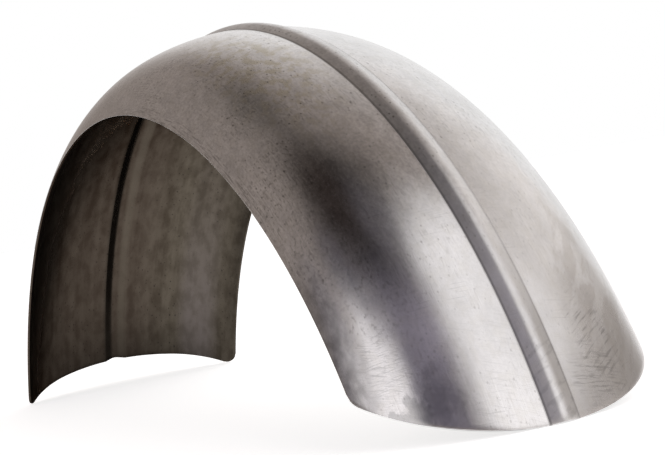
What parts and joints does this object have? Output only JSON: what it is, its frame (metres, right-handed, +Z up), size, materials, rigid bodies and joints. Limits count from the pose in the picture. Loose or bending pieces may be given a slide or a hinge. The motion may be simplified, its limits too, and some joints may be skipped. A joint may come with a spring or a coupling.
{
  "type": "motorcycle rear fender",
  "caption": "Bare steel rear fender blank for a motorcycle: one curved, crowned sheet with a pressed centre rib, rounded corners, a straight front end and a bowed tail.",
  "frame": {"origin": "on the floor the fender stands on, under the middle of its bounding box", "axes": "+X along the fender from its front end to its tail, +Y across the width along the wheel axle, towards the right-hand side of the motorcycle, +Z up; it stands on its two front corners and the tail tip"},
  "size_m": [0.6572, 0.169, 0.2348],
  "materials": {
    "bare_steel": "raw pressed steel sheet, satin, unpainted, with light stains, specks and handling scratches"
  },
  "bodies": {
    "root": {"fender_shell": "bare_steel"}
  },
  "joints": []
}
